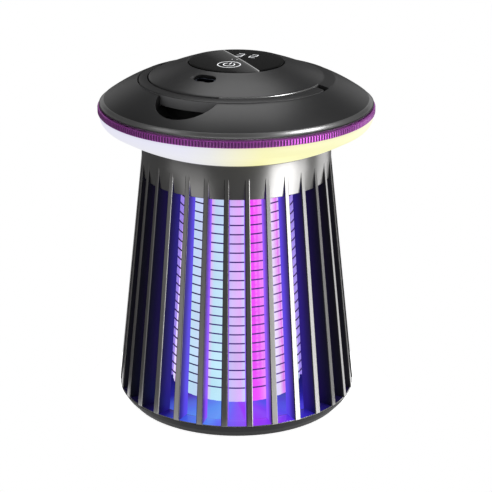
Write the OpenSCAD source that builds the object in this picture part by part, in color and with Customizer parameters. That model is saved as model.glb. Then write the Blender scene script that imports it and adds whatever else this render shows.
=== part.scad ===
// Rechargeable table bug zapper: a flat domed head on a conical grille of upright blades.
// Millimetres. +Z is up, the origin is the centre of the footprint on the table,
// and -Y is the front, with the charging socket and the finger scoop.

/* [Grille] */
// Number of upright blades round the grille
blade_count = 30; // [24:6:36]
// Angle that one blade takes up, in degrees
blade_angle = 3; // [2.4:0.1:3.6]
// Depth of a blade from its outer to its inner edge
blade_depth = 7.8; // [6:0.1:8]
// Outer radius of the blades at the foot ring
blade_foot_r = 53; // [52.6:0.1:54]
// Outer radius of the blades at the collar
blade_head_r = 42.2; // [41.8:0.1:42.6]
// Height of the foot ring's top, where the blades start
foot_top_z = 7; // [6.8:0.1:7.2]
// Height of the collar's lower edge, where the blades end
collar_z = 105.4; // [102:0.2:108]
// Height at which the blade ridges fade into the collar
ridge_top_z = 115; // [113:0.5:117]

/* [Head] */
// Outer radius of the knurled trim ring, the widest piece
ring_r = 60; // [59.8:0.1:61]
// Height of the trim ring's lower edge
ring_z = 133.3; // [133:0.1:133.6]
// Height of the trim ring itself
ring_h = 3; // [2.6:0.1:3.1]
// Height of the collar's top, where the diffuser starts
collar_top_z = 120; // [119.5:0.1:120.5]
// Outer radius of the upper cover's lower edge
cover_edge_r = 59.3; // [58.8:0.1:59.4]
// Height of the upper cover's lower edge
cover_edge_z = 137; // [136.8:0.1:137.1]
// Radius of the round display lens
lens_r = 20.4; // [19.5:0.1:20.5]
// Height of the middle of the display lens, the top of the lamp
lens_top_z = 155.3; // [155.1:0.1:155.6]

/* [Handle] */
// Inner radius of the half-ring carry handle
handle_in_r = 38.3; // [38.2:0.05:38.4]
// Outer radius of the half-ring carry handle
handle_out_r = 42; // [41.9:0.05:42.1]
// Height of the handle's hinge axis
hinge_z = 145; // [144.9:0.05:145.1]
// Radius of a hinge pin
pin_r = 1.2; // [1:0.05:1.3]
// Radial clearance of a hinge pin in the handle
pin_fit = 0.05; // [0.02:0.01:0.1]
// Gap between the handle and the walls of its recess
handle_gap = 0.4; // [0.35:0.05:0.5]
// Radius of the finger scoop in front of the handle
scoop_r = 14; // [12:0.5:14.5]
// Height of the scoop's floor
scoop_floor_z = 136.8; // [136.7:0.1:138]

/* [Grid and light guide] */
// Radius of the lowest grid wire's centre line
grid_foot_r = 30.8; // [30:0.1:32]
// Radius of the highest grid wire's centre line
grid_head_r = 24.6; // [24.4:0.1:25.2]
// Height of the highest grid wire
grid_top_z = 101.2; // [98:0.2:102]
// Distance between one grid wire and the next
wire_pitch = 4.1; // [3.8:0.01:4.15]
// Number of grid wires, which take turns to be live and return
wire_count = 22; // [16:2:22]
// Thickness of a grid wire
wire_d = 0.6; // [0.5:0.1:1]
// Number of insulating ribs that hold the wires
rib_count = 6; // [4:1:8]
// Wall thickness of the light guide
guide_wall = 1.6; // [1.2:0.1:2]

/* [Tray] */
// Outer radius of the insect tray
tray_r = 45.4; // [44.6:0.1:45.4]
// Height of the tray's upper edge
tray_top_z = 6.2; // [5.4:0.1:6.4]
// Height at which the foot ring and tray start, above the rubber feet
base_z = 0.3; // [0.2:0.1:0.4]

/* [Night light and electronics] */
// Number of white lamps behind the diffuser
night_led_count = 24; // [12:4:36]
// Number of ultraviolet lamps in the light guide
uv_led_count = 8; // [4:1:10]
// Diameter of the battery cell
cell_d = 18.4; // [18:0.1:18.6]
// Length of the battery cell
cell_len = 65; // [60:0.5:65.2]
// Width of the charging socket's opening
port_w = 9.6; // [9.4:0.1:10]
// Height of the charging socket's opening
port_h = 4.6; // [4.2:0.1:4.8]

/* [Hidden] */
$fn = 96;

// Shared clearances and skins
skin = 2;
far = 200;
overlap = 0.5;

// Grille: the blades' outer line falls from the foot ring to the collar's ridges
blade_slope = (blade_foot_r - blade_head_r) / (collar_z - foot_top_z);
function blade_r(z) = blade_foot_r - blade_slope * (z - foot_top_z);
foot_in_r = 45.8;
foot_bottom_r = 48;
foot_bulge = [51, 3.6];
foot_edge = 0.5;
flange_in_r = blade_head_r - 6;
flange_h = 3;
collar_relief = 1.2;
collar_swell = 0.2;
foot_taper = 0.2;
collar_top_r = blade_r(collar_top_z);
collar_in_r = 38.6;
function collar_r(z) = blade_head_r - collar_relief + (z - collar_z) / (ridge_top_z - collar_z)
    * (blade_r(ridge_top_z) + collar_swell - blade_head_r + collar_relief);

// Grid: wires and guide share one cone
grid_slope = (grid_foot_r - grid_head_r) / (wire_pitch * (wire_count - 1));
function grid_r(z) = grid_head_r + grid_slope * (grid_top_z - z);
guide_gap = 2.4;
guide_z = 7.5;
guide_floor = 1.5;
rib_z = 8.5;
rib_angle = 4;
rib_proud = 0.6;
rib_start = 30;
plate_h = 2.4;
terminal_r = 0.7;
terminal_gap = 0.05;
terminal_at_r = grid_head_r - wire_d / 2 - terminal_r - terminal_gap;
terminal_len = 8;
cable_hole_r = 2.5;
uv_board_r = 19;
uv_board_h = 1.6;
uv_board_z = collar_z - 3;
function guide_r(z) = grid_r(z) - guide_gap;

// Head: levels of the chassis, and the skins that it carries
chassis_floor_z = 118;
chassis_wall_in_r = 36.6;
chassis_flange_h = 1.7;
chassis_rim_out_r = 57;
chassis_rim_in_r = 55.4;
chassis_rim_top_z = 137.6;
ring_in_r = 57.2;
diffuser_top_r = 59.2;
diffuser_knee = [55.5, 127.2];
diffuser_wall = 1.6;
night_board_z = 131.9;
night_board_in_r = 43;
night_board_out_r = 54;
screw_at_r = 40.8;
screw_r = 1.1;
screw_fit = 0.1;
screw_head_r = 2;
screw_len = 7.6;
screw_start = 45;
boss_r = 2.6;
boss_gap = 1;

// Upper cover: its outline is a chamfer, a shallow arc, the handle's band and the dome
chamfer_top = [57.6, 138.8];
recess_in_r = handle_in_r - handle_gap;
recess_out_r = handle_out_r + handle_gap;
band_in = [recess_in_r, 148.4];
band_out = [recess_out_r, 147.3];
dome_top = [lens_r + 0.5, 154.9];
cover_bulge = 0.5;
recess_floor_z = 142.2;
recess_wall = 2;
recess_back_y = 4.1;
seat_z = 153.3;
seat_in_r = 17.5;
board_top_z = 151.7;
scoop_y = -39.2;
scoop_fillet = 5;
scoop_wall = 1.5;
function band_z(r) = band_in[1] + (r - band_in[0]) * (band_out[1] - band_in[1])
    / (band_out[0] - band_in[0]);
cover_outline = concat(
    [[cover_edge_r, cover_edge_z], chamfer_top],
    arc_path(chamfer_top, band_out, -cover_bulge, 8),
    [band_in, dome_top]
);
function dome_z(r) = dome_top[1] + (r - dome_top[0]) * (band_in[1] - dome_top[1])
    / (band_in[0] - dome_top[0]);

// Charging socket: it stands square to the dome's slope, on the front
port_y = -26.5;
port_tilt = atan((dome_top[1] - band_in[1]) / (band_in[0] - dome_top[0]));
port_depth = 1;
port_reach = 5;
socket_w = 9;
socket_h = 3.3;
socket_len = 7.4;
status_x = -6.1;
status_r = 0.75;

// Inside the chassis: the cell, and the main board on its four posts
cell_y = 6;
cell_lift = 0.6;
cell_z = chassis_floor_z + skin + cell_lift + cell_d / 2;
main_board_size = [36, 20, 1.6];
main_board_y = -18;
main_board_lift = 3;
main_board_z = chassis_floor_z + skin + main_board_lift;
post_inset = 3;
main_board_posts = [for (x = [-1, 1]) for (y = [-1, 1])
    [x * (main_board_size[0] / 2 - post_inset), main_board_y + y * (main_board_size[1] / 2 - post_inset)]];

// Handle: half a ring with a hub at each end
handle_bottom_z = 142.6;
hub_r = hinge_z - handle_bottom_z;
handle_edge = 0.4;
hub_start_r = handle_in_r + 0.1;
hub_end_r = handle_out_r - handle_edge;

// Tray
tray_wall = 1.4;
tray_floor = 1.2;
pad_r = 4;
pad_at_r = 34;
pad_h = 1;
pad_count = 4;

// A point of the arc from p to q that bulges by s to the left, at fraction t of the way
function arc_point(p, q, s, t) =
    let (d = q - p, c = norm(d), u = d / c, n = [-u[1], u[0]], r = (c * c / 4 + s * s) / (2 * s),
        a = 2 * atan(2 * s / c), w = (2 * t - 1) * a)
    (p + q) / 2 + n * (s - r) + r * (n * cos(w) + u * sin(w));

// The whole arc, as steps + 1 points
function arc_path(p, q, s, steps) = [for (i = [0:steps]) arc_point(p, q, s, i / steps)];

// A ring with square edges
module ring(outer, inner, height) {
    difference() {
        cylinder(r = outer, h = height);
        translate([0, 0, -overlap]) cylinder(r = inner, h = height + 2 * overlap);
    }
}

// A flat bar with round ends, width across X and height across Y
module pill(width, height) {
    square([width - height, height], center = true);
    for (side = [-1, 1]) translate([side * (width - height) / 2, 0]) circle(d = height);
}

// Copies its children round the Z axis
module around(count, start = 0) {
    for (i = [0:count - 1]) rotate([0, 0, start + i * 360 / count]) children();
}

// Puts its children square to the dome's slope where the charging socket is
module at_port() {
    translate([0, port_y, dome_z(-port_y)]) rotate([port_tilt, 0, 0]) children();
}

// Grille collar
module grille_collar() {
    color("dimgray") rotate_extrude() polygon([
        [flange_in_r, collar_z],
        [collar_r(collar_z), collar_z],
        [collar_r(ridge_top_z), ridge_top_z],
        [collar_top_r, collar_top_z],
        [collar_in_r, collar_top_z],
        [collar_in_r, collar_z + flange_h],
        [flange_in_r, collar_z + flange_h]
    ]);
}

// Upright blades, one gap on each side of the X axis; their tips run up the collar and fade out
module grille_fins() {
    first = -90 - blade_angle / 2;
    tip_drop = 0.5;
    tip_proud = 0.1;
    tip_z = ridge_top_z - tip_drop;
    color("dimgray") around(blade_count, first) rotate_extrude(angle = blade_angle) polygon([
        [blade_foot_r - blade_depth, foot_top_z],
        [blade_foot_r, foot_top_z],
        [blade_head_r, collar_z],
        [collar_r(tip_z) + tip_proud, tip_z],
        [collar_r(tip_z), tip_z],
        [collar_r(collar_z), collar_z],
        [max(blade_head_r - blade_depth, flange_in_r), collar_z]
    ]);
}

// Foot ring under the blades, which the tray fits into
module grille_foot_ring() {
    color("dimgray") rotate_extrude() polygon([
        [foot_in_r, base_z],
        [foot_bottom_r, base_z],
        foot_bulge,
        [blade_foot_r - foot_taper, foot_top_z - foot_edge],
        [blade_foot_r - foot_edge, foot_top_z],
        [foot_in_r, foot_top_z]
    ]);
}

// Hollow translucent cone that spreads the ultraviolet light
module light_guide() {
    color("mediumpurple") rotate_extrude() polygon([
        [guide_r(guide_z) - guide_wall, guide_z],
        [guide_r(guide_z), guide_z],
        [guide_r(collar_z), collar_z],
        [guide_r(collar_z) - guide_wall, collar_z]
    ]);
}

// Disc that closes the light guide's lower end
module guide_end_cap() {
    color("plum") rotate_extrude() polygon([
        [0, guide_z],
        [guide_r(guide_z) - guide_wall, guide_z],
        [guide_r(guide_z + guide_floor) - guide_wall, guide_z + guide_floor],
        [0, guide_z + guide_floor]
    ]);
}

// Insulating plate that the guide, ribs and lamp board hang from
module grid_top_plate() {
    boss_h = 1.4;
    boss = 6;
    color("darkslategray") difference() {
        union() {
            translate([0, 0, collar_z]) cylinder(r = flange_in_r, h = plate_h);
            translate([0, 0, collar_z - boss_h]) cylinder(r = boss, h = boss_h + overlap);
        }
        translate([0, 0, collar_z - far / 2]) cylinder(r = cable_hole_r, h = far);
        around(2, rib_start) translate([terminal_at_r, 0, 0]) cylinder(r = terminal_r, h = far);
    }
}

// Upright insulating ribs that the wires are moulded into
module grid_ribs() {
    color("darkslategray") difference() {
        around(rib_count, rib_start - rib_angle / 2) rotate_extrude(angle = rib_angle) polygon([
            [guide_r(rib_z), rib_z],
            [grid_r(rib_z) + rib_proud, rib_z],
            [grid_r(collar_z) + rib_proud, collar_z],
            [guide_r(collar_z), collar_z]
        ]);
        around(2, rib_start) translate([terminal_at_r, 0, collar_z + plate_h - terminal_len])
            cylinder(r = terminal_r, h = terminal_len);
    }
}

// Every second grid wire, from the one given
module grid_wires(first) {
    for (i = [first:2:wire_count - 1]) {
        z = grid_top_z - i * wire_pitch;
        translate([0, 0, z]) rotate_extrude() translate([grid_r(z), 0]) circle(d = wire_d, $fn = 16);
    }
}

// Grid wires on the live side
module grid_wires_live() {
    color("slateblue") grid_wires(0);
}

// Grid wires on the return side
module grid_wires_return() {
    color("darkslateblue") grid_wires(1);
}

// Metal pins that carry the high voltage through the plate into two ribs
module grid_terminals() {
    color("gold") around(2, rib_start)
        translate([terminal_at_r, 0, collar_z + plate_h - terminal_len])
            cylinder(r = terminal_r, h = terminal_len);
}

// Round circuit board inside the light guide's top
module uv_led_board() {
    color("white") difference() {
        translate([0, 0, uv_board_z]) cylinder(r = uv_board_r, h = uv_board_h);
        translate([0, 0, uv_board_z - overlap])
            cylinder(r = cable_hole_r, h = uv_board_h + 2 * overlap);
    }
}

// Ultraviolet lamps under their board
module uv_leds() {
    led = 3.5;
    led_h = 1.2;
    led_at_r = 14;
    color("violet") around(uv_led_count) translate([led_at_r, 0, uv_board_z - led_h / 2])
        cube([led, led, led_h], center = true);
}

// Potted high-voltage module above the top plate
module hv_module() {
    size = [34, 24, 9.2];
    color("royalblue") translate([-size[0] / 2, -size[1] / 2, collar_z + plate_h]) cube(size);
}

// Chassis of the head: a tub with a flange and a rim, standing in the collar
module lamp_chassis() {
    post_r = 2;
    cable_r = 5;
    cable_y = -30;
    color("whitesmoke") difference() {
        union() {
            rotate_extrude() polygon([
                [0, chassis_floor_z],
                [collar_in_r, chassis_floor_z],
                [collar_in_r, ring_z],
                [chassis_rim_out_r, ring_z],
                [chassis_rim_out_r, chassis_rim_top_z],
                [chassis_rim_in_r, chassis_rim_top_z],
                [chassis_rim_in_r, ring_z + chassis_flange_h],
                [chassis_wall_in_r, ring_z + chassis_flange_h],
                [chassis_wall_in_r, chassis_floor_z + skin],
                [0, chassis_floor_z + skin]
            ]);
            for (spot = main_board_posts)
                translate([spot[0], spot[1], chassis_floor_z + skin - overlap])
                    cylinder(r = post_r, h = main_board_lift + overlap);
        }
        translate([0, cable_y, chassis_floor_z - overlap]) cylinder(r = cable_r, h = skin + 2 * overlap);
        around(4, screw_start) translate([screw_at_r, 0, ring_z - overlap])
            cylinder(r = screw_r + screw_fit, h = chassis_flange_h + 2 * overlap);
    }
}

// Translucent bowl under the trim ring, which the night light shines through
module diffuser() {
    edge_in = 0.2;
    low_bulge = 0.5;
    high_bulge = 1.3;
    high_bulge_in = 1.1;
    foot = [collar_top_r - edge_in, collar_top_z];
    head = [diffuser_top_r, ring_z];
    foot_in = [collar_in_r + edge_in, collar_top_z];
    head_in = [ring_in_r, ring_z];
    knee_in = diffuser_knee + [-1, diffuser_wall];
    color("lightyellow") rotate_extrude() polygon(concat(
        arc_path(foot, diffuser_knee, -low_bulge, 6),
        arc_path(diffuser_knee, head, -high_bulge, 8),
        arc_path(head_in, knee_in, high_bulge_in, 8),
        arc_path(knee_in, foot_in, low_bulge, 6)
    ));
}

// Knurled trim ring, as its plain outer shape
module trim_ring() {
    color("purple") translate([0, 0, ring_z]) ring(ring_r, ring_in_r, ring_h);
}

// Ring-shaped circuit board of the night light
module night_led_board() {
    color("white") translate([0, 0, night_board_z])
        ring(night_board_out_r, night_board_in_r, ring_z - night_board_z);
}

// White lamps under the ring board
module night_leds() {
    led = 3;
    led_h = 1;
    led_at_r = 49;
    color("khaki") around(night_led_count) translate([led_at_r, 0, night_board_z - led_h / 2])
        cube([led, led, led_h], center = true);
}

// Hollow of the finger scoop, or with grow its outer skin; it ends at the recess's inner wall
module scoop_bowl(grow) {
    r = scoop_r + grow;
    fillet = scoop_fillet + grow;
    floor_z = scoop_floor_z - grow;
    inner_r = grow > 0 ? recess_in_r - recess_wall : recess_in_r;
    difference() {
        translate([0, scoop_y, 0]) rotate_extrude() {
            translate([0, floor_z]) square([r - fillet, far]);
            translate([0, floor_z + fillet]) square([r, far]);
            intersection() {
                translate([r - fillet, floor_z + fillet]) circle(r = fillet);
                translate([0, floor_z]) square([r, fillet]);
            }
        }
        cylinder(r = inner_r, h = far);
    }
}

// Outside of the upper cover, filled down to below its lower edge
module cover_fill() {
    rotate_extrude() polygon(concat([[0, scoop_floor_z - skin], [cover_edge_r, scoop_floor_z - skin]],
        cover_outline, [[0, dome_top[1]]]));
}

// Upper cover: domed shell with the display's seat, the handle's recess and the scoop
module upper_cover() {
    lens_fit = 0.2;
    dome_skin = 2.2;
    floor_skin = 1.6;
    slope_skin = 3;
    edge_skin = 0.8;
    inner = [
        [lens_r + lens_fit, dome_top[1]],
        [lens_r + lens_fit, seat_z],
        [seat_in_r, seat_z],
        [seat_in_r, board_top_z],
        [lens_r + lens_fit + skin, board_top_z],
        [recess_in_r - recess_wall, dome_z(recess_in_r - recess_wall) - dome_skin],
        [recess_in_r - recess_wall, recess_floor_z - floor_skin],
        [recess_out_r + recess_wall, recess_floor_z - floor_skin],
        [recess_out_r + recess_wall, band_out[1] - slope_skin],
        [ring_in_r - skin, chamfer_top[1]],
        [ring_in_r, cover_edge_z + edge_skin],
        [ring_in_r, cover_edge_z]
    ];
    color("#3a3a3c") difference() {
        union() {
            rotate_extrude() polygon(concat(cover_outline, inner));
            intersection() {
                scoop_bowl(scoop_wall);
                cover_fill();
            }
            around(4, screw_start) translate([screw_at_r, 0, ring_z + chassis_flange_h])
                cylinder(r = boss_r, h = recess_floor_z - ring_z - chassis_flange_h - boss_gap);
        }
        scoop_bowl(0);
        handle_recess();
        back_relief();
        around(4, screw_start) translate([screw_at_r, 0, ring_z])
            cylinder(r = screw_r, h = screw_len);
        hinge_pin_shapes(pin_r);
        at_port() translate([0, 0, -port_reach]) linear_extrude(far) pill(port_w, port_h);
        at_port() translate([status_x, 0, -port_reach]) cylinder(r = status_r, h = far);
    }
}

// The half of the ring-shaped recess that the handle lies in
module handle_recess() {
    intersection() {
        translate([0, 0, recess_floor_z]) ring(recess_out_r, recess_in_r, far);
        translate([-far / 2, recess_back_y - far, 0]) cube(far);
    }
}

// Hollow under the back half of the band, where there is no recess
module back_relief() {
    relief_low = 3;
    relief_high = 2.8;
    intersection() {
        translate([0, 0, recess_floor_z - relief_low])
            ring(recess_out_r, recess_in_r, relief_low + relief_high);
        translate([-far / 2, recess_back_y + recess_wall, 0]) cube(far);
    }
}

// Screws that hold the cover down on the chassis
module cover_screws() {
    head_h = 1.6;
    color("silver") around(4, screw_start) translate([screw_at_r, 0, ring_z]) {
        cylinder(r = screw_r, h = screw_len);
        translate([0, 0, -head_h]) cylinder(r = screw_head_r, h = head_h);
    }
}

// Dark glass lens over the display and the touch key
module display_lens() {
    drop = 0.3;
    edge = 0.3;
    color("black") rotate_extrude() polygon([
        [0, seat_z],
        [lens_r, seat_z],
        [lens_r, lens_top_z - drop - edge],
        [lens_r - edge, lens_top_z - drop],
        [0, lens_top_z]
    ]);
}

// Round circuit board under the lens
module display_board() {
    board_h = 1.3;
    board_r = lens_r - 0.4;
    color("seagreen") translate([0, 0, board_top_z - board_h]) cylinder(r = board_r, h = board_h);
}

// Block of the two-digit display
module digit_module() {
    size = [14, 9, seat_z - board_top_z];
    digits_y = 8.5;
    color("gray") translate([-size[0] / 2, digits_y - size[1] / 2, board_top_z]) cube(size);
}

// Contact spring between the board and the touch area of the lens
module touch_spring() {
    spring_r = 2.6;
    spring_wire = 0.6;
    spring_y = -8.6;
    color("silver") translate([0, spring_y, board_top_z])
        ring(spring_r, spring_r - spring_wire, seat_z - board_top_z);
}

// Charging socket: a metal shell with a tongue
module usb_socket() {
    wall = 0.35;
    tongue = [6.6, 0.7, 5];
    back = 1.4;
    color("silver") at_port() translate([0, 0, -port_depth - socket_len]) union() {
        difference() {
            linear_extrude(socket_len) pill(socket_w, socket_h);
            translate([0, 0, back]) linear_extrude(socket_len)
                pill(socket_w - 2 * wall, socket_h - 2 * wall);
        }
        translate([-tongue[0] / 2, -tongue[1] / 2, back - overlap]) cube(tongue);
    }
}

// Small circuit board behind the charging socket
module charge_board() {
    size = [22, 1.2, 10];
    top = -4;
    color("seagreen") at_port() translate([-size[0] / 2, socket_h / 2, top - size[2]]) cube(size);
}

// Clear pin that shows the charging light beside the socket
module status_light() {
    color("white") at_port() translate([status_x, 0, -port_reach]) cylinder(r = status_r, h = port_reach);
}

// Battery cell lying across the chassis
module battery_cell() {
    button_r = 3;
    button_h = 0.8;
    color("mediumseagreen") translate([-cell_len / 2, cell_y, cell_z]) rotate([0, 90, 0]) {
        cylinder(d = cell_d, h = cell_len - button_h);
        cylinder(r = button_r, h = cell_len);
    }
}

// Cradle that the cell lies in
module battery_cradle() {
    size = [46, 15, 5];
    color("dimgray") difference() {
        translate([-size[0] / 2, cell_y - size[1] / 2, chassis_floor_z + skin]) cube(size);
        translate([-far / 2, cell_y, cell_z]) rotate([0, 90, 0]) cylinder(d = cell_d, h = far);
    }
}

// Main circuit board on four posts in the chassis
module main_board() {
    chip = [8, 8, 1.6];
    chip_x = -8;
    color("seagreen") union() {
        translate([-main_board_size[0] / 2, main_board_y - main_board_size[1] / 2, main_board_z])
            cube(main_board_size);
        translate([chip_x, main_board_y, main_board_z + main_board_size[2] - overlap])
            linear_extrude(chip[2]) square([chip[0], chip[1]], center = true);
    }
}

// Coil of the boost converter, on the main board
module boost_coil() {
    coil_x = 8;
    coil_r = 4.5;
    coil_h = 4.2;
    color("sienna") translate([coil_x, main_board_y, main_board_z + main_board_size[2]])
        cylinder(r = coil_r, h = coil_h);
}

// Hinge pins' shapes, along X on both sides, with a given radius
module hinge_pin_shapes(r) {
    reach = 1.8;
    for (side = [0, 1]) mirror([side, 0, 0])
        translate([recess_in_r - reach, 0, hinge_z]) rotate([0, 90, 0])
            cylinder(r = r, h = recess_out_r - recess_in_r + 2 * reach, $fn = 32);
}

// Hinge pins, fixed in the cover
module handle_pins() {
    color("silver") hinge_pin_shapes(pin_r);
}

// Carry handle: half a ring that swings up about its two pins
module carry_handle() {
    color("#3a3a3c") difference() {
        union() {
            rotate_extrude(angle = 180, start = 180) polygon([
                [handle_in_r, handle_bottom_z],
                [handle_out_r, handle_bottom_z],
                [handle_out_r, band_z(handle_out_r) - handle_edge],
                [handle_out_r - handle_edge, band_z(handle_out_r - handle_edge)],
                [handle_in_r + handle_edge, band_z(handle_in_r + handle_edge)],
                [handle_in_r, band_z(handle_in_r) - handle_edge]
            ]);
            for (side = [0, 1]) mirror([side, 0, 0]) translate([hub_start_r, 0, hinge_z])
                rotate([0, 90, 0]) cylinder(r = hub_r, h = hub_end_r - hub_start_r, $fn = 48);
        }
        hinge_pin_shapes(pin_r + pin_fit);
    }
}

// Pull-off tray that catches the insects
module insect_tray() {
    color("#202024") difference() {
        translate([0, 0, base_z]) cylinder(r = tray_r, h = tray_top_z - base_z);
        translate([0, 0, base_z + tray_floor]) cylinder(r = tray_r - tray_wall, h = far);
        around(pad_count, 45) translate([pad_at_r, 0, -overlap]) cylinder(r = pad_r, h = pad_h + overlap);
    }
}

// Rubber feet let into the tray's underside
module tray_feet() {
    color("black") around(pad_count, 45) translate([pad_at_r, 0, 0]) cylinder(r = pad_r, h = pad_h);
}

grille_collar();
grille_fins();
grille_foot_ring();
light_guide();
guide_end_cap();
grid_top_plate();
grid_ribs();
grid_wires_live();
grid_wires_return();
grid_terminals();
uv_led_board();
uv_leds();
hv_module();
lamp_chassis();
diffuser();
trim_ring();
night_led_board();
night_leds();
upper_cover();
cover_screws();
display_lens();
display_board();
digit_module();
touch_spring();
usb_socket();
charge_board();
status_light();
battery_cell();
battery_cradle();
main_board();
boost_coil();
handle_pins();
carry_handle();
insect_tray();
tray_feet();
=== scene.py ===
import math

import bmesh
import bpy
from mathutils import Matrix, Vector


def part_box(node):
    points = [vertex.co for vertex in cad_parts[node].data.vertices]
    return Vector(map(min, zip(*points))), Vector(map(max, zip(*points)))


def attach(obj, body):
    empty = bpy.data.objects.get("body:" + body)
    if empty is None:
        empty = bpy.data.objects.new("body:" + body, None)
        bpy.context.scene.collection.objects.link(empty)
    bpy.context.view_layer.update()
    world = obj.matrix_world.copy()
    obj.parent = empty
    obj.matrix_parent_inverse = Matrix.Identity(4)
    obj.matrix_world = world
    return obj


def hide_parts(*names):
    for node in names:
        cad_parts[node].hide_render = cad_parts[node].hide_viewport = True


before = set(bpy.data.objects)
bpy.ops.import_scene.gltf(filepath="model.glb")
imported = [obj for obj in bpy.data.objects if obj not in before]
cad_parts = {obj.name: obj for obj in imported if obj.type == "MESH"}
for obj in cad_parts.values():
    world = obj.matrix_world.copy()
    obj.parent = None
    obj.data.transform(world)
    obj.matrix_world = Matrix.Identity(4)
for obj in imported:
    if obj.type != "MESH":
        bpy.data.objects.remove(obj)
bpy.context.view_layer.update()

MM = 0.001
TAU = 2 * math.pi

# ---------------------------------------------------------------- sizes, all read from the frame
RING_LOW, RING_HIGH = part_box("trim_ring")
RING_R, RING_Z, RING_TOP = RING_HIGH.x, RING_LOW.z, RING_HIGH.z
LENS_LOW, LENS_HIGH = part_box("display_lens")
LENS_R, LENS_Z, LENS_TOP = LENS_HIGH.x, LENS_LOW.z, LENS_HIGH.z
HANDLE_LOW, HANDLE_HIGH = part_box("carry_handle")
HANDLE_OUT, HANDLE_Z = HANDLE_HIGH.x, HANDLE_LOW.z
COVER_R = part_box("upper_cover")[1].x
DIFFUSER_LOW, DIFFUSER_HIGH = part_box("diffuser")
COLLAR_LOW, COLLAR_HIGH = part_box("grille_collar")
COLLAR_Z, COLLAR_TOP = COLLAR_LOW.z, COLLAR_HIGH.z
BLADES_LOW, BLADES_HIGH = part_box("grille_fins")
BLADE_FOOT_Z, BLADE_TIP_Z = BLADES_LOW.z, BLADES_HIGH.z
FOOT_LOW, FOOT_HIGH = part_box("grille_foot_ring")
GUIDE_LOW, GUIDE_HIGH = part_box("light_guide")
WIRE_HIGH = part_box("grid_wires_live")[1]
WIRE_LAST_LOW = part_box("grid_wires_return")[0]
TRAY_LOW, TRAY_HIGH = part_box("insect_tray")
TRAY_R = TRAY_HIGH.x
PINS_LOW, PINS_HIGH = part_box("handle_pins")
HINGE_Z = (PINS_LOW.z + PINS_HIGH.z) / 2

# ---------------------------------------------------------------- sizes that follow the CAD design
RING_IN = RING_R - 2.8 * MM
BLADE_FOOT_R = 53 * MM
BLADE_HEAD_R = 42.2 * MM
FLANGE_IN = 36.2 * MM
RIDGE_TOP_Z = 115 * MM
FOOT_IN_R = 45.8 * MM
HANDLE_IN = HANDLE_OUT - 3.7 * MM
RECESS_GAP = 0.4 * MM
RECESS_IN = HANDLE_IN - RECESS_GAP
RECESS_OUT = HANDLE_OUT + RECESS_GAP
RECESS_FLOOR = HANDLE_Z - RECESS_GAP
RECESS_WALL = 1.6 * MM
RECESS_END_DEG = 96.0
RECESS_BACK_Y = 4 * MM
LIP = 0.4 * MM
COVER_EDGE_Z = RING_TOP + 0.7 * MM
CHAMFER = (57.6 * MM, 138.8 * MM)
BAND_IN_Z = 148.4 * MM
BAND_OUT_Z = 147.3 * MM
SLOPE_SAG = -0.5 * MM
SKIRT_TOP_Z = 144.3 * MM
SKIRT_KNEE = (55 * MM, CHAMFER[1])
COVER_UNDER_Z = 134 * MM
LENS_SEAT_R, LENS_SEAT_OUT = 17.5 * MM, 22.6 * MM
LENS_SEAT_WALL = 1.6 * MM
LENS_DROP = 0.3 * MM
DOME_TOP = (LENS_R + 1.0 * MM, 154.75 * MM)  # a little below the CAD's
DOME_SLOPE = (DOME_TOP[1] - BAND_IN_Z) / (RECESS_IN - DOME_TOP[0])
SCOOP_Y = -39.2 * MM
SCOOP_R = 14 * MM
SCOOP_FLOOR = 136.8 * MM
SCOOP_FILLET = 5 * MM
SCOOP_WALL = 1.5 * MM
PORT_Y = -26.5 * MM
PORT_W, PORT_H = 10.1 * MM, 5 * MM           # a little larger than the CAD's
PORT_REACH = 6 * MM
PINHOLE_R, PINHOLE_X = 0.75 * MM, -6.1 * MM
DIFFUSER_FOOT_R = 40.4 * MM
DIFFUSER_KNEE = (55.5 * MM, 127.2 * MM)
FOOT_BOTTOM_R = 48 * MM
FOOT_BULGE = (51 * MM, 3.6 * MM)
BLADE_COUNT = 30
BLADE_DEPTH = 7.8 * MM
BLADE_HALF_FOOT, BLADE_HALF_HEAD = 1.42 * MM, 1.06 * MM  # half the width at the outer edge
BLADE_ROOT_FOOT, BLADE_ROOT_HEAD = 1.12 * MM, 0.9 * MM   # half the width at the inner edge
WIRE_COUNT = 22
WIRE_R = 0.3 * MM
GRID_HEAD_R = 24.6 * MM
GRID_FOOT_R = 30.8 * MM

# ---------------------------------------------------------------- sizes of the visual pieces only
HAIR = 0.02 * MM                          # hairline between faces that meet in the CAD
TOOL_LOW, TOOL_HIGH = 100 * MM, 200 * MM  # reach of the upright cutting tools, clear of the cover
LIP_HIGHLIGHT_FROM_X = 12 * MM                      # the recess's lips carry a painted highlight to the right of this
COLUMN_LOBES = 3
MARK_TURN = math.radians(9)
KEY_AT = (1.35 * MM, -8.7 * MM)
DOTS_AT = ((-1.88 * MM, -0.35 * MM), (0.21 * MM, 0.23 * MM))
DIGITS = (((-2.85 * MM, 8.1 * MM), "abgcd"), ((3.2 * MM, 9.4 * MM), "abged"))
DIGIT_W, DIGIT_H, DIGIT_PAD = 2.6 * MM, 5.3 * MM, 0.17 * MM
SEGMENTS = {
    "a": (0, 1, 1, 1), "b": (1, 0.5, 1, 1), "c": (1, 0, 1, 0.5), "d": (0, 0, 1, 0),
    "e": (0, 0, 0, 0.5), "f": (0, 0.5, 0, 1), "g": (0, 0.5, 1, 0.5),
}
TABLE_R, TABLE_TOP_Z = 72 * MM, -0.2 * MM
LIGHT_DISTANCE = 0.9
LIGHT_AIM_Z = 82 * MM

# ---------------------------------------------------------------- camera, at the photograph's view
CAMERA_AZIMUTH = math.radians(29.7)
CAMERA_ELEVATION = math.radians(19.83)
CAMERA_DISTANCE = 0.78
TARGET_Z = 70.4 * MM
FOCAL_LENGTH = 128.2
SENSOR_MM = 36.0
SHIFT_X = 0.0195


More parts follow.
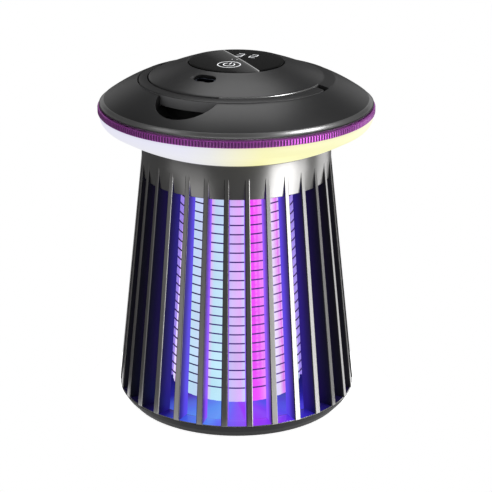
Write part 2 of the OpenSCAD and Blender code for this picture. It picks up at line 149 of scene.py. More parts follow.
def make_camera():
    """Camera at the photograph's view, aimed at the lamp's axis."""
    data = bpy.data.cameras.new("camera")
    data.lens = FOCAL_LENGTH
    data.sensor_width = SENSOR_MM
    data.shift_x = SHIFT_X
    data.dof.use_dof = False
    data.clip_start = 0.01
    camera = bpy.data.objects.new("camera", data)
    bpy.context.scene.collection.objects.link(camera)
    flat = CAMERA_DISTANCE * math.cos(CAMERA_ELEVATION)
    camera.location = (
        flat * math.sin(CAMERA_AZIMUTH),
        -flat * math.cos(CAMERA_AZIMUTH),
        TARGET_Z + CAMERA_DISTANCE * math.sin(CAMERA_ELEVATION),
    )
    camera.rotation_euler = (math.pi / 2 - CAMERA_ELEVATION, 0, CAMERA_AZIMUTH)
    bpy.context.scene.camera = camera


# ---------------------------------------------------------------- node helpers
class Nodes:
    """Builds one material's node tree with few words."""

    def __init__(self, name):
        self.material = bpy.data.materials.new(name)
        self.material.use_nodes = True
        self.tree = self.material.node_tree
        self.shader = next(n for n in self.tree.nodes if n.type == "BSDF_PRINCIPLED")

    def add(self, kind, **settings):
        node = self.tree.nodes.new(kind)
        for key, value in settings.items():
            setattr(node, key, value)
        return node

    def link(self, source, target):
        self.tree.links.new(source, target)

    def put(self, **values):
        for key, value in values.items():
            self.shader.inputs[key.replace("_", " ")].default_value = value

    def position(self):
        return self.add("ShaderNodeTexCoord").outputs["Object"]

    def split(self, vector=None):
        """X, Y and Z of a vector, or of the place on the lamp."""
        node = self.add("ShaderNodeSeparateXYZ")
        self.link(vector or self.position(), node.inputs[0])
        return node.outputs

    def math(self, operation, a, b=None):
        node = self.add("ShaderNodeMath", operation=operation)
        for i, value in enumerate((a, b)):
            if value is None:
                continue
            if isinstance(value, (int, float)):
                node.inputs[i].default_value = value
            else:
                self.link(value, node.inputs[i])
        return node.outputs[0]

    def noise(self, scale, detail=3.0, vector=None):
        node = self.add("ShaderNodeTexNoise")
        node.inputs["Scale"].default_value = scale
        node.inputs["Detail"].default_value = detail
        self.link(vector or self.position(), node.inputs["Vector"])
        return node.outputs["Fac"]

    def ramp(self, value, stops):
        node = self.add("ShaderNodeValToRGB")
        elements = node.color_ramp.elements
        while len(elements) < len(stops):
            elements.new(0.5)
        for element, (place, colour) in zip(elements, stops):
            element.position = place
            element.color = (*colour, 1.0)
        self.link(value, node.inputs["Fac"])
        return node.outputs["Color"]

    def scaled(self, value, low, high, start=0.0, end=1.0):
        """Value carried from the range start to end over to the range low to high."""
        node = self.add("ShaderNodeMapRange")
        for name, number in (("From Min", start), ("From Max", end), ("To Min", low), ("To Max", high)):
            node.inputs[name].default_value = number
        self.link(value, node.inputs["Value"])
        return node.outputs["Result"]

    def mix(self, factor, a, b, mode="MIX"):
        node = self.add("ShaderNodeMix", data_type="RGBA", blend_type=mode)
        for socket, value in ((node.inputs[0], factor), (node.inputs[6], a), (node.inputs[7], b)):
            if isinstance(value, (int, float)):
                socket.default_value = value
            elif isinstance(value, tuple):
                socket.default_value = (*value, 1.0)
            else:
                self.link(value, socket)
        return node.outputs[2]

    def bump(self, height, strength, distance):
        node = self.add("ShaderNodeBump")
        node.inputs["Strength"].default_value = strength
        node.inputs["Distance"].default_value = distance
        self.link(height, node.inputs["Height"])
        self.link(node.outputs["Normal"], self.shader.inputs["Normal"])

    def azimuth(self):
        """Place round the lamp in turns: 0 at the camera's side, growing to the right."""
        rotate = self.add("ShaderNodeVectorRotate", rotation_type="Z_AXIS")
        rotate.inputs["Angle"].default_value = -CAMERA_AZIMUTH
        self.link(self.position(), rotate.inputs["Vector"])
        right, back, _ = self.split(rotate.outputs[0])
        return self.math("DIVIDE", self.math("ARCTAN2", right, self.math("MULTIPLY", back, -1.0)), TAU)


def srgb(*levels):
    """Linear colour of three display levels from 0 to 255."""
    shares = [v / 255 for v in levels]
    return tuple(v / 12.92 if v <= 0.04045 else ((v + 0.055) / 1.055) ** 2.4 for v in shares)


# ---------------------------------------------------------------- materials
def moulded(name, colour, rough, metallic=0.0, grain=9000, depth=0.02, coat=0.0, vary=0.06,
            specular=0.5):
    """Moulded or painted plastic: fine grain, slightly uneven gloss and tone."""
    n = Nodes(name)
    n.put(Metallic=metallic, Coat_Weight=coat, Coat_Roughness=0.12, Specular_IOR_Level=specular)
    tone = n.noise(140, 4)
    dark = tuple(c * (1 - vary * 2) for c in colour)
    light = tuple(min(1, c * (1 + vary * 2)) for c in colour)
    n.link(n.ramp(tone, [(0.3, dark), (0.7, light)]), n.shader.inputs["Base Color"])
    n.link(n.scaled(n.noise(420, 5), rough - vary, rough + vary), n.shader.inputs["Roughness"])
    n.bump(n.noise(grain, 2), depth, 0.00005)
    return n.material


def brushed(name, colour, rough, metallic=1.0):
    """Drawn or turned metal: fine lines along one direction."""
    n = Nodes(name)
    n.put(Metallic=metallic)
    mapping = n.add("ShaderNodeMapping")
    mapping.inputs["Scale"].default_value = (1, 1, 40)
    n.link(n.position(), mapping.inputs["Vector"])
    lines = n.noise(300, 3, mapping.outputs["Vector"])
    dark = tuple(c * 0.85 for c in colour)
    n.link(n.ramp(lines, [(0.3, dark), (0.7, colour)]), n.shader.inputs["Base Color"])
    n.link(n.scaled(lines, rough - 0.05, rough + 0.07), n.shader.inputs["Roughness"])
    n.bump(lines, 0.05, 0.00004)
    return n.material


def knurled_purple():
    """Purple painted metal of the trim ring's teeth."""
    n = Nodes("knurled_purple")
    n.put(Metallic=0.85)
    n.link(n.ramp(n.noise(200, 3), [(0.3, srgb(184, 84, 190)), (0.7, srgb(206, 104, 212))]),
           n.shader.inputs["Base Color"])
    n.link(n.scaled(n.noise(900, 3), 0.24, 0.4), n.shader.inputs["Roughness"])
    n.bump(n.noise(6000, 2), 0.04, 0.00004)
    return n.material


def lit_diffuser():
    """Milky plastic lit from inside: cool white on one half, warm on the other."""
    n = Nodes("lit_diffuser")
    colour = n.ramp(n.math("ADD", n.azimuth(), 0.5), [
        (0.00, srgb(255, 252, 200)), (0.06, srgb(236, 236, 246)), (0.44, srgb(238, 238, 248)),
        (0.47, srgb(240, 240, 236)), (0.5, srgb(250, 247, 212)), (0.53, srgb(255, 252, 186)),
        (0.62, srgb(255, 253, 194)), (0.72, srgb(255, 251, 214)), (0.94, srgb(255, 252, 190)),
    ])
    # painted shade: the glow dims a little just above the foot and more towards the top edge under the ring
    level = n.scaled(n.split()[2], 0.0, 1.0, DIFFUSER_LOW.z, DIFFUSER_HIGH.z)
    painted_shade = n.ramp(level, [
        (0.0, (1.0, 1.0, 1.0)), (0.1, (0.93, 0.93, 0.9)), (0.5, (0.96, 0.96, 0.94)),
        (0.9, (0.93, 0.93, 0.98)), (1.0, (0.86, 0.86, 0.92)),
    ])
    glow = n.mix(1.0, colour, painted_shade, "MULTIPLY")
    n.put(Base_Color=(0.04, 0.04, 0.04, 1), Specular_IOR_Level=0.2, Emission_Strength=0.95)
    n.link(glow, n.shader.inputs["Emission Color"])
    n.link(n.scaled(n.noise(700, 3), 0.4, 0.52), n.shader.inputs["Roughness"])
    n.bump(n.noise(5000, 2), 0.02, 0.00004)
    return n.material


# colours round one lobe of the column, from its left edge to its right
GUIDE_STOPS = [
    (0.00, srgb(215, 222, 255)), (0.09, srgb(194, 226, 246)), (0.17, srgb(200, 222, 248)),
    (0.26, srgb(235, 165, 240)), (0.31, srgb(190, 228, 244)), (0.385, srgb(196, 232, 246)),
    (0.42, srgb(190, 190, 250)), (0.47, srgb(212, 190, 246)), (0.53, srgb(226, 178, 246)),
    (0.57, srgb(200, 214, 255)), (0.60, srgb(240, 70, 250)), (0.67, srgb(244, 84, 250)),
    (0.735, srgb(242, 150, 250)), (0.80, srgb(214, 214, 255)), (0.86, srgb(236, 210, 250)),
    (0.90, srgb(226, 120, 238)), (0.95, srgb(215, 205, 255)), (1.00, srgb(120, 120, 255)),
]


def lit_column():
    """Translucent light guide, glowing in upright bands of violet, pink and icy blue."""
    n = Nodes("lit_column")
    lobe = n.math("ADD", n.math("MULTIPLY", n.azimuth(), float(COLUMN_LOBES)), COLUMN_LOBES + 0.5)
    bands = n.ramp(n.math("FRACT", lobe), GUIDE_STOPS)
    level = n.scaled(n.split()[2], 0.0, 1.0, GUIDE_LOW.z, COLLAR_Z)
    tint = n.ramp(level, [
        (0.0, (0.92, 1.0, 1.0)), (0.35, (1.0, 1.0, 1.0)), (0.8, (1.0, 0.9, 1.0)), (1.0, (1.0, 0.82, 0.98)),
    ])
    glow = n.mix(1.0, bands, tint, "MULTIPLY")
    cloud = n.ramp(n.noise(60, 2), [(0.35, (0.93, 0.93, 0.93)), (0.65, (1.05, 1.05, 1.05))])
    glow = n.mix(1.0, glow, cloud, "MULTIPLY")
    n.put(Base_Color=(0.02, 0.016, 0.03, 1), Emission_Strength=1.0)
    n.link(glow, n.shader.inputs["Emission Color"])
    n.link(n.scaled(n.noise(500, 3), 0.2, 0.32), n.shader.inputs["Roughness"])
    return n.material


def blade_side_painted_light():
    """Flanks of the blades with painted light: the column's blue glow painted on near the middle of the view,
    fading to painted shade to both sides.
    """
    n = Nodes("blade_side_painted_light")
    wash = n.ramp(n.math("ABSOLUTE", n.azimuth()), [
        (0.0, srgb(150, 74, 255)), (0.05, srgb(140, 74, 255)), (0.07, srgb(100, 78, 250)),
        (0.092, srgb(60, 46, 190)), (0.111, srgb(30, 20, 120)), (0.131, srgb(12, 7, 62)),
        (0.155, srgb(4, 2, 26)), (0.19, srgb(1, 0, 8)),
    ])
    length = n.add("ShaderNodeVectorMath", operation="LENGTH")
    flat = n.add("ShaderNodeVectorMath", operation="MULTIPLY")
    flat.inputs[1].default_value = (1, 1, 0)
    n.link(n.position(), flat.inputs[0])
    n.link(flat.outputs[0], length.inputs[0])
    outer_edge = n.scaled(n.split()[2], BLADE_FOOT_R, BLADE_HEAD_R, BLADE_FOOT_Z, COLLAR_Z)
    depth = n.math("DIVIDE", n.math("SUBTRACT", outer_edge, length.outputs["Value"]), BLADE_DEPTH)
    # painted shade: the painted glow darkens towards the blades' outer edge
    painted_falloff = n.ramp(depth, [
        (0.0, (0.1, 0.1, 0.1)), (0.3, (0.35, 0.35, 0.4)), (0.65, (0.9, 0.9, 0.92)), (1.0, (1.1, 1.1, 1.1)),
    ])
    glow = n.mix(1.0, wash, painted_falloff, "MULTIPLY")
    n.put(Base_Color=(0.006, 0.006, 0.008, 1), Specular_IOR_Level=0.3, Emission_Strength=1.0)
    n.link(glow, n.shader.inputs["Emission Color"])
    n.link(n.scaled(n.noise(500, 3), 0.34, 0.46), n.shader.inputs["Roughness"])
    return n.material


# light lying on the foot and on the tray, once round from the back; the camera's side is at 0.5
FOOT_GLOW = [
    (0.0, srgb(30, 26, 120)), (0.26, srgb(3, 2, 16)), (0.36, srgb(6, 4, 40)), (0.395, srgb(24, 14, 112)),
    (0.425, srgb(64, 90, 235)), (0.46, srgb(86, 140, 255)), (0.475, srgb(92, 96, 255)),
    (0.52, srgb(150, 62, 255)), (0.56, srgb(136, 44, 255)), (0.585, srgb(66, 50, 230)),
    (0.615, srgb(30, 20, 140)), (0.65, srgb(8, 5, 50)), (0.74, srgb(3, 2, 16)), (1.0, srgb(30, 26, 120)),
]
TRAY_GLOW = [
    (0.0, srgb(40, 36, 170)), (0.2, srgb(24, 22, 110)), (0.3, srgb(34, 34, 160)),
    (0.38, srgb(70, 110, 240)), (0.46, srgb(92, 156, 255)), (0.475, srgb(92, 96, 255)),
    (0.52, srgb(150, 62, 255)),
    (0.565, srgb(136, 44, 255)), (0.6, srgb(80, 56, 245)), (0.65, srgb(60, 50, 220)),
    (0.72, srgb(34, 28, 150)), (0.8, srgb(24, 22, 110)), (1.0, srgb(40, 36, 170)),
]


def lit_floor(name, stops):
    """Dark floor with the column's light lying on it."""
    n = Nodes(name)
    wash = n.ramp(n.math("ADD", n.azimuth(), 0.5), stops)
    n.put(Base_Color=(0.008, 0.006, 0.016, 1), Specular_IOR_Level=0.2, Emission_Strength=0.85)
    n.link(wash, n.shader.inputs["Emission Color"])
    n.link(n.scaled(n.noise(300, 3), 0.12, 0.2), n.shader.inputs["Roughness"])
    return n.material


def dark_glass():
    """Dark display glass, with a painted reflection: a slightly greyer half along a slanting line, ending in
    a thin painted highlight line.
    """
    n = Nodes("dark_glass")
    x, y, _ = n.split()
    painted_reflection_slant = n.math("ADD", n.math("MULTIPLY", x, 0.79), y)
    # painted reflection: grey rising towards the slanting line, a bright painted highlight line, then dark
    # again
    tone = n.ramp(n.scaled(painted_reflection_slant, 0.0, 1.0, -26 * MM, 3 * MM), [
        (0.0, (0.003, 0.003, 0.003)), (0.5, (0.009, 0.009, 0.009)), (0.9, (0.05, 0.05, 0.05)),
        (0.965, (0.08, 0.08, 0.08)), (0.98, (0.4, 0.4, 0.4)), (1.0, (0.003, 0.003, 0.003)),
    ])
    n.link(tone, n.shader.inputs["Base Color"])
    n.put(Specular_IOR_Level=0.1)
    n.link(n.scaled(n.noise(200, 2), 0.1, 0.16), n.shader.inputs["Roughness"])
    return n.material


def glowing(name, colour, strength):
    """A small lit part of one colour."""
    n = Nodes(name)
    n.put(Base_Color=(0.3, 0.3, 0.3, 1), Roughness=0.4, Emission_Strength=strength)
    n.link(n.ramp(n.noise(900, 2), [(0.3, tuple(c * 0.9 for c in colour)), (0.7, colour)]),
           n.shader.inputs["Emission Color"])
    return n.material


def floor_material():
    """Plain pale table top, lifted to the white of the cove."""
    n = Nodes("pale_floor")
    n.link(n.ramp(n.noise(30, 3), [(0.3, (0.86, 0.86, 0.86)), (0.7, (0.88, 0.88, 0.88))]),
           n.shader.inputs["Base Color"])
    n.put(Roughness=0.6, Emission_Color=(1, 1, 1, 1), Emission_Strength=0.8)
    return n.material


FINE = dict(grain=3000, depth=0.01, vary=0.02)
SATIN_BLACK = moulded("satin_black", (0.011, 0.011, 0.0115), 0.34, **FINE)
# painted light: lighter copy of the satin black, for the light falling on the handle's outer wall
WALL_PAINTED_LIGHT = moulded("wall_painted_light", (0.085, 0.085, 0.087), 0.4, **FINE)
SATIN_EDGE = moulded("satin_edge", (0.26, 0.26, 0.26), 0.3, metallic=0.9, **FINE)
GUNMETAL = moulded("gunmetal", (0.3, 0.296, 0.292), 0.29, metallic=0.95, grain=2500, depth=0.004,
                   vary=0.015)
# painted shade: dark finish on the bevel along one side of each blade
BLADE_EDGE_PAINTED_SHADE = moulded("blade_edge_painted_shade", (0.01, 0.01, 0.011), 0.3, specular=0.15, **FINE)
# painted highlight: light metallic finish for the recess's lips on the right front and for the foot's top
# edge
LIP_PAINTED_HIGHLIGHT = moulded("lip_painted_highlight", (0.4, 0.4, 0.4), 0.24, metallic=0.9, **FINE)
FOOT_BLACK = moulded("foot_black", (0.014, 0.014, 0.015), 0.5, specular=0.06, **FINE)
PURPLE = knurled_purple()
# painted shade: darker purple for the walls of the knurl's grooves
PURPLE_PAINTED_SHADE = moulded("purple_groove_painted_shade", srgb(92, 28, 97), 0.5, metallic=0.3)
DIFFUSER = lit_diffuser()
COLUMN = lit_column()
# painted light: the column's blue glow painted on the blades' flanks
BLADE_PAINTED_LIGHT = blade_side_painted_light()
TRAY_FLOOR = lit_floor("lit_tray", TRAY_GLOW)
FOOT_TOP = lit_floor("lit_foot", FOOT_GLOW)
GLASS = dark_glass()
TRAY_BLACK = moulded("tray_black", (0.012, 0.012, 0.014), 0.2, coat=0.3, vary=0.03)
WIRE = brushed("grid_wire", srgb(110, 74, 160), 0.35, metallic=0.9)
# painted light: the grid's ribs glow violet, for the column's light falling on them
RIB_PAINTED_GLOW = glowing("violet_rib_painted_glow", srgb(150, 120, 250), 0.7)
WHITE_MARK = glowing("white_mark", (0.95, 0.97, 1.0), 0.95)
WHITE_PLASTIC = moulded("white_plastic", (0.8, 0.8, 0.79), 0.5)
INSULATOR = moulded("insulator_black", (0.02, 0.02, 0.024), 0.5)
RUBBER = moulded("pad_rubber", (0.02, 0.02, 0.02), 0.8, grain=4000, depth=0.1)
BOARD = moulded("board_green", (0.02, 0.14, 0.06), 0.4, coat=0.3)
STEEL = brushed("plated_steel", (0.55, 0.55, 0.57), 0.28)
DARK_STEEL = brushed("dark_steel", (0.07, 0.08, 0.11), 0.35)
BRASS = brushed("brass_pin", (0.7, 0.5, 0.22), 0.25)
CELL_WRAP = moulded("cell_wrap", (0.05, 0.3, 0.18), 0.3, coat=0.4)
COPPER = brushed("coil_copper", (0.42, 0.17, 0.07), 0.4)
POTTING = moulded("potting_resin", (0.03, 0.05, 0.22), 0.35, coat=0.3)
UV_DIE = glowing("uv_die", srgb(140, 90, 255), 1.5)
LAMP_DIE = glowing("lamp_die", srgb(255, 240, 190), 1.5)
DIGIT_BLOCK = moulded("digit_block", (0.02, 0.02, 0.02), 0.35)
CLEAR_PIN = moulded("clear_pin", (0.005, 0.005, 0.006), 0.3)

# looks of the CAD nodes that are shown as they are
NODE_MATERIALS = {
    "guide_end_cap": COLUMN, "grid_top_plate": INSULATOR, "grid_ribs": RIB_PAINTED_GLOW, "grid_terminals": BRASS,
    "uv_led_board": WHITE_PLASTIC, "uv_leds": UV_DIE, "hv_module": POTTING, "lamp_chassis": WHITE_PLASTIC,
    "night_led_board": WHITE_PLASTIC, "night_leds": LAMP_DIE, "cover_screws": STEEL, "display_board": BOARD,
    "digit_module": DIGIT_BLOCK, "touch_spring": STEEL, "usb_socket": DARK_STEEL, "charge_board": BOARD,
    "status_light": CLEAR_PIN, "battery_cell": CELL_WRAP, "battery_cradle": INSULATOR, "main_board": BOARD,
    "boost_coil": COPPER, "handle_pins": STEEL, "tray_feet": RUBBER,
}


# ---------------------------------------------------------------- mesh helpers
def new_object(name, bm, materials, sharp_deg=35):
    """An object from a bmesh, shaded smooth except at edges sharper than sharp_deg."""
    mesh = bpy.data.meshes.new(name)
    bmesh.ops.recalc_face_normals(bm, faces=bm.faces)
    bm.to_mesh(mesh)
    bm.free()
    for material in materials:
        mesh.materials.append(material)
    mesh.shade_smooth()
    mesh.set_sharp_from_angle(angle=math.radians(sharp_deg))
    obj = bpy.data.objects.new(name, mesh)
    bpy.context.scene.collection.objects.link(obj)
    return obj


def finish_piece(obj, body, slot, *nodes):
    """Ties a piece to its body and hides the CAD nodes that it replaces; slot is not used."""
    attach(obj, body)
    if nodes:
        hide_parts(*nodes)


def rounded(points):
    """A closed outline of (r, z, fillet) corners, with each fillet as a curve of four steps."""
    steps = 4
    outline = []
    count = len(points)
    for i, (r, z, fillet) in enumerate(points):
        here = Vector((r, z))
        if fillet <= 0:
            outline.append(here)
            continue
        before = Vector(points[i - 1][:2]) - here
        after = Vector(points[(i + 1) % count][:2]) - here
        corner = before.angle(after)
        back = min(fillet / math.tan(corner / 2), before.length * 0.49, after.length * 0.49)
        a = here + before.normalized() * back
        b = here + after.normalized() * back
        for k in range(steps + 1):
            t = k / steps
            outline.append(a * (1 - t) ** 2 + here * (2 * t * (1 - t)) + b * t * t)
    return outline


def arc(p, q, bulge, steps):
    """Points of the arc from p to q that bulges by bulge to the left."""
    p, q = Vector(p), Vector(q)
    chord = (q - p).length
    along = (q - p) / chord
    left = Vector((-along.y, along.x))
    radius = (chord * chord / 4 + bulge * bulge) / (2 * bulge)
    reach = 2 * math.atan(2 * bulge / chord)
    middle = (p + q) / 2 + left * (bulge - radius)
    return [middle + radius * (left * math.cos(w) + along * math.sin(w))
            for w in ((2 * k / steps - 1) * reach for k in range(steps + 1))]


def lathe(name, outline, materials, columns=256, body="lamp", slot=None, nodes=(), sharp_deg=35,
          shape=None):
    """Turns a closed outline round Z; points on the axis become poles.

    shape(angle, r, z) may move a point. Without a slot the result is only a tool.
    """
    bm = bmesh.new()
    rings = []
    for point in outline:
        r, z = point[0], point[1]
        if r < 1e-7:
            rings.append([bm.verts.new((0, 0, z))])
            continue
        ring = []
        for k in range(columns):
            angle = TAU * k / columns
            rr, zz = shape(angle, r, z) if shape else (r, z)
            ring.append(bm.verts.new((rr * math.cos(angle), rr * math.sin(angle), zz)))
        rings.append(ring)
    for a, b in zip(rings, rings[1:] + rings[:1]):
        if len(a) == 1 and len(b) == 1:
            continue
        for k in range(columns):
            j = (k + 1) % columns
            if len(a) == 1:
                bm.faces.new((a[0], b[k], b[j]))
            elif len(b) == 1:
                bm.faces.new((a[k], b[0], a[j]))
            else:
                bm.faces.new((a[k], b[k], b[j], a[j]))
    obj = new_object(name, bm, materials, sharp_deg)
    if slot:
        finish_piece(obj, body, slot, *nodes)
    return obj


def apply_modifiers(obj, sharp_deg=35):
    """Makes the modifiers' result the object's own mesh."""
    graph = bpy.context.evaluated_depsgraph_get()
    mesh = bpy.data.meshes.new_from_object(obj.evaluated_get(graph))
    obj.modifiers.clear()
    old = obj.data
    obj.data = mesh
    mesh.name = obj.name
    bpy.data.meshes.remove(old)
    mesh.shade_smooth()
    mesh.set_sharp_from_angle(angle=math.radians(sharp_deg))


def boolean(obj, tool, operation):
    """Cuts, joins or trims obj with tool, which is used up."""
    modifier = obj.modifiers.new("cut", "BOOLEAN")
    modifier.operation = operation
    modifier.object = tool
    modifier.solver = "EXACT"
    apply_modifiers(obj)
    bpy.data.objects.remove(tool)


# ---------------------------------------------------------------- upper cover
def band_z(r):
    """Height of the band between dome and slope, which the handle's top follows."""
    share = (r - RECESS_IN) / (RECESS_OUT - RECESS_IN)
    return BAND_IN_Z + (BAND_OUT_Z - BAND_IN_Z) * share


def dome_z(r):
    """Height of the dome inside the handle's recess."""
    return DOME_TOP[1] - (r - DOME_TOP[0]) * DOME_SLOPE


def cover_sections():
    """Two outlines with the same number of points: with the handle's recess, and without it."""
    outer = [Vector((RING_IN, COVER_EDGE_Z))]
    outer += [Vector((COVER_R - 0.25 * MM, COVER_EDGE_Z)), Vector((COVER_R, COVER_EDGE_Z + 0.25 * MM))]
    chamfer_low = (COVER_R, COVER_EDGE_Z + 0.3 * MM)
    chamfer_high = (CHAMFER[0] + 0.3 * MM, CHAMFER[1] - 0.3 * MM)
    outer += arc(chamfer_low, chamfer_high, 0.12 * MM, 4)
    slope = arc(CHAMFER, (RECESS_OUT, BAND_OUT_Z), SLOPE_SAG, 40)
    start = slope[0]
    outer += [Vector((start.x + 0.12 * MM, start.y - 0.1 * MM))] + slope[1:-2]
    wall_out = [
        (RECESS_OUT + LIP, BAND_OUT_Z - 0.1 * MM), (RECESS_OUT + LIP * 0.35, BAND_OUT_Z - LIP * 0.45),
        (RECESS_OUT, BAND_OUT_Z - LIP * 1.2), (RECESS_OUT, RECESS_FLOOR + 0.3 * MM),
        (RECESS_OUT - 0.3 * MM, RECESS_FLOOR),
    ]
    wall_in = [
        (RECESS_IN + 0.3 * MM, RECESS_FLOOR), (RECESS_IN, RECESS_FLOOR + 0.3 * MM),
        (RECESS_IN, BAND_IN_Z - LIP * 1.2), (RECESS_IN - LIP * 0.35, BAND_IN_Z - LIP * 0.3),
        (RECESS_IN - LIP, BAND_IN_Z + LIP * 0.3),
    ]
    opened = [Vector(p) for p in wall_out + wall_in]
    closed = []
    count = len(opened)
    for k in range(count):
        r = RECESS_OUT + LIP + (RECESS_IN - LIP - RECESS_OUT - LIP) * k / (count - 1)
        closed.append(Vector((r, band_z(min(max(r, RECESS_IN), RECESS_OUT)))))
    closed[0].y = opened[0].y
    closed[-1].y = opened[-1].y
    dome = []
    steps = 24
    for k in range(1, steps):
        t = k / steps
        r = RECESS_IN - LIP + (DOME_TOP[0] + 0.3 * MM - RECESS_IN + LIP) * t
        dome.append(Vector((r, dome_z(r) + 0.25 * MM * math.sin(math.pi * t))))
    rim = [
        Vector(DOME_TOP), Vector((LENS_R + 0.4 * MM, DOME_TOP[1] - 0.3 * MM)),
        Vector((LENS_R + 0.2 * MM, DOME_TOP[1] - 0.6 * MM)), Vector((LENS_R + 0.2 * MM, LENS_Z)),
        Vector((LENS_SEAT_R, LENS_Z)), Vector((LENS_SEAT_R, LENS_Z - LENS_SEAT_WALL)),
        Vector((LENS_SEAT_OUT, LENS_Z - LENS_SEAT_WALL)),
    ]
    inner_wall = RECESS_IN - 2 * MM
    outer_wall = RECESS_OUT + 2 * MM
    under = [
        Vector((inner_wall, dome_z(inner_wall) - 2.2 * MM)), Vector((inner_wall, RECESS_FLOOR - RECESS_WALL)),
        Vector((outer_wall, RECESS_FLOOR - RECESS_WALL)), Vector((outer_wall, SKIRT_TOP_Z)),
        Vector(SKIRT_KNEE), Vector((RING_IN, COVER_EDGE_Z + 0.8 * MM)),
    ]
    return outer + opened + dome + rim + under, outer + closed + dome + rim + under


def front_angle(deg, r, z):
    """A point at a turn of deg from the front, towards +X."""
    turn = math.radians(deg)
    return (r * math.sin(turn), -r * math.cos(turn), z)


def cover_shell():
    """The cover turned round Z, one section a degree, with a steep step at each end of the recess."""
    opened, closed = cover_sections()
    angles = [float(a) for a in range(-180, 180)]
    edge = 0.12
    for end in (-RECESS_END_DEG, RECESS_END_DEG):
        angles = [a for a in angles if abs(a - end) > 0.5]
        angles += [end - edge, end + edge]
    angles.sort()
    bm = bmesh.new()
    columns = []
    for angle in angles:
        section = opened if abs(angle) < RECESS_END_DEG else closed
        columns.append([bm.verts.new(front_angle(angle, p.x, p.y)) for p in section])
    for a, b in zip(columns, columns[1:] + columns[:1]):
        for k in range(len(a)):
            j = (k + 1) % len(a)
            bm.faces.new((a[k], a[j], b[j], b[k]))
    return new_object("cover_shell", bm, [SATIN_BLACK])


def scoop_outline(grow):
    """Outline of the finger scoop, or with grow its outer skin, as a tall bowl."""
    r, fillet, floor = SCOOP_R + grow, SCOOP_FILLET + grow, SCOOP_FLOOR - grow
    steps = 10
    bowl = [Vector((0, floor))]
    for k in range(steps + 1):
        w = math.pi / 2 * k / steps
        bowl.append(Vector((r - fillet + fillet * math.sin(w), floor + fillet - fillet * math.cos(w))))
    return bowl + [Vector((r, TOOL_HIGH)), Vector((0, TOOL_HIGH))]


def move_mesh(obj, matrix):
    """Moves the mesh itself, so that the object's own place stays at the origin."""
    obj.data.transform(matrix)
    obj.data.update()


def cylinder_tool(name, radius, low, high, columns=256):
    """A plain upright cylinder to cut with."""
    return lathe(name, [(0, low), (radius, low), (radius, high), (0, high)], [SATIN_BLACK], columns)


def pill_tool(width, height, depth):
    """A bar with round ends standing along Z, from -depth to depth, with its width along X."""
    steps = 16
    bm = bmesh.new()
    points = []
    for side in (1, -1):
        for k in range(steps + 1):
            w = side * math.pi / 2 - math.pi * k / steps
            x = side * (width - height) / 2 + height / 2 * math.cos(w)
            points.append((x, height / 2 * math.sin(w)))
    low = [bm.verts.new((x, y, -depth)) for x, y in points]
    high = [bm.verts.new((x, y, depth)) for x, y in points]
    bm.faces.new(low)
    bm.faces.new(high)
    for k in range(len(points)):
        j = (k + 1) % len(points)
        bm.faces.new((low[k], low[j], high[j], high[k]))
    return new_object("pill_tool", bm, [SATIN_BLACK])


def at_port():
    """Place and tilt of the charging socket, square to the dome."""
    tilt = math.atan(DOME_SLOPE)
    return Matrix.Translation((0, PORT_Y, dome_z(-PORT_Y))) @ Matrix.Rotation(tilt, 4, "X")


def add_scoop(cover):
    """Joins the scoop's skin under the slope, then hollows the scoop out as far as the dome's wall."""
    at_scoop = Matrix.Translation((0, SCOOP_Y, 0))
    skin = lathe("skin_tool", scoop_outline(SCOOP_WALL), [SATIN_BLACK], 128)
    move_mesh(skin, at_scoop)
    slope = arc(CHAMFER, (RECESS_OUT, BAND_OUT_Z), SLOPE_SAG, 12)
    under_slope = [(0, COVER_UNDER_Z), (COVER_R - 1 * MM, COVER_UNDER_Z)]
    under_slope += [(COVER_R - 2 * MM, COVER_EDGE_Z + 0.5 * MM)]
    under_slope += [(p.x - 0.2 * MM, p.y - 0.5 * MM) for p in slope]
    under_slope += [(RECESS_OUT + 0.5 * MM, RECESS_FLOOR - 0.8 * MM), (0, RECESS_FLOOR - 0.8 * MM)]
    boolean(skin, lathe("fill_tool", under_slope, [SATIN_BLACK], 128), "INTERSECT")
    boolean(skin, cylinder_tool("core_tool", RECESS_IN - 1 * MM, TOOL_LOW, TOOL_HIGH), "DIFFERENCE")
    boolean(cover, skin, "UNION")
    hollow = lathe("hollow_tool", scoop_outline(0), [SATIN_BLACK], 192)
    move_mesh(hollow, at_scoop)
    boolean(hollow, cylinder_tool("wall_tool", RECESS_IN, TOOL_LOW, TOOL_HIGH), "DIFFERENCE")
    boolean(cover, hollow, "DIFFERENCE")


def cut_port(cover):
    """Opens the charging socket and the pinhole of the charging light beside it."""
    port = pill_tool(PORT_W, PORT_H, PORT_REACH)
    move_mesh(port, at_port())
    boolean(cover, port, "DIFFERENCE")
    pinhole = cylinder_tool("pinhole_tool", PINHOLE_R, -PORT_REACH, PORT_REACH, 24)
    move_mesh(pinhole, at_port() @ Matrix.Translation((PINHOLE_X, 0, 0)))
    boolean(cover, pinhole, "DIFFERENCE")


def soften_edges(cover):
    """A fine bevel on every sharp edge."""
    bevel = cover.modifiers.new("edge", "BEVEL")
    bevel.width = 0.22 * MM
    bevel.segments = 2
    bevel.limit_method = "ANGLE"
    bevel.angle_limit = math.radians(50)
    bevel.use_clamp_overlap = True
    apply_modifiers(cover, 30)


